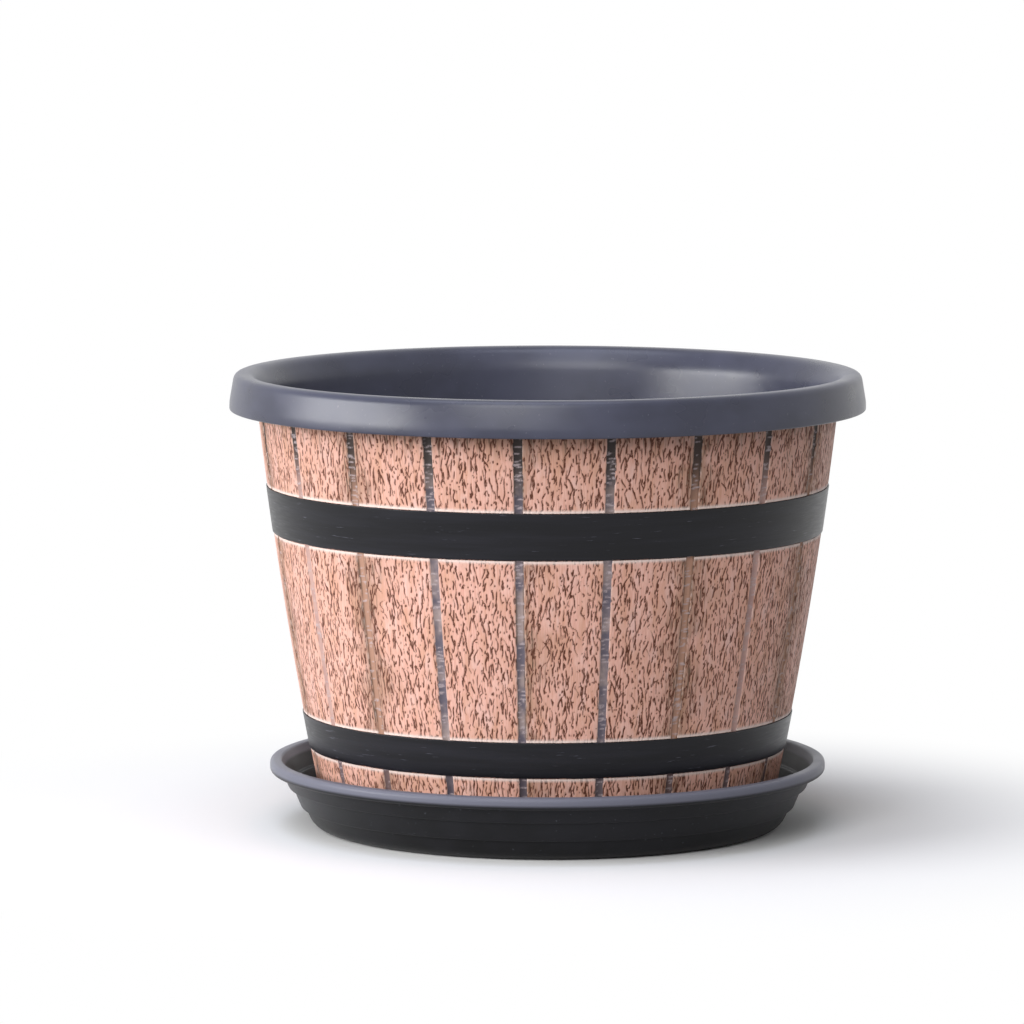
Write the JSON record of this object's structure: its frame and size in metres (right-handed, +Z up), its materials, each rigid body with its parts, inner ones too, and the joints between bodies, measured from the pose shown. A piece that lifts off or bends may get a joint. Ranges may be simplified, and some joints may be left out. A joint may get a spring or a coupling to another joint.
{
  "type": "barrel planter",
  "caption": "Round tapered planter in the form of a half barrel, with wood-look staves, dark hoops, a turned-down rim and a loose stepped saucer.",
  "frame": {"origin": "on the ground, on the axis that the pot and the saucer share", "axes": "+Z up along the axis, -Y towards the viewer of the picture, +X to the viewer's right"},
  "size_m": [0.34, 0.3398, 0.244],
  "materials": {
    "pot_plastic": "charcoal polypropylene, satin moulded",
    "saucer_plastic": "charcoal polypropylene, satin moulded",
    "hoop_plastic": "near-black polypropylene, fine drawn streaks",
    "stave_foil": "salmon wood-look foil with dark open pores"
  },
  "bodies": {
    "saucer": {"saucer": "saucer_plastic"},
    "pot": {"pot_shell": "pot_plastic", "upper_hoop": "hoop_plastic", "lower_hoop": "hoop_plastic", "stave_01": "stave_foil", "stave_02": "stave_foil", "stave_03": "stave_foil", "stave_04": "stave_foil", "stave_05": "stave_foil", "stave_06": "stave_foil", "stave_07": "stave_foil", "stave_08": "stave_foil", "stave_09": "stave_foil", "stave_10": "stave_foil", "stave_11": "stave_foil", "stave_12": "stave_foil", "stave_13": "stave_foil", "stave_14": "stave_foil", "stave_15": "stave_foil", "stave_16": "stave_foil", "stave_17": "stave_foil", "stave_18": "stave_foil", "stave_19": "stave_foil", "stave_20": "stave_foil"}
  },
  "joints": [
    {"name": "pot_lift", "type": "slide", "parent": "saucer", "child": "pot", "axis": [0, 0, 1], "range_m": [0, 0.15]}
  ]
}
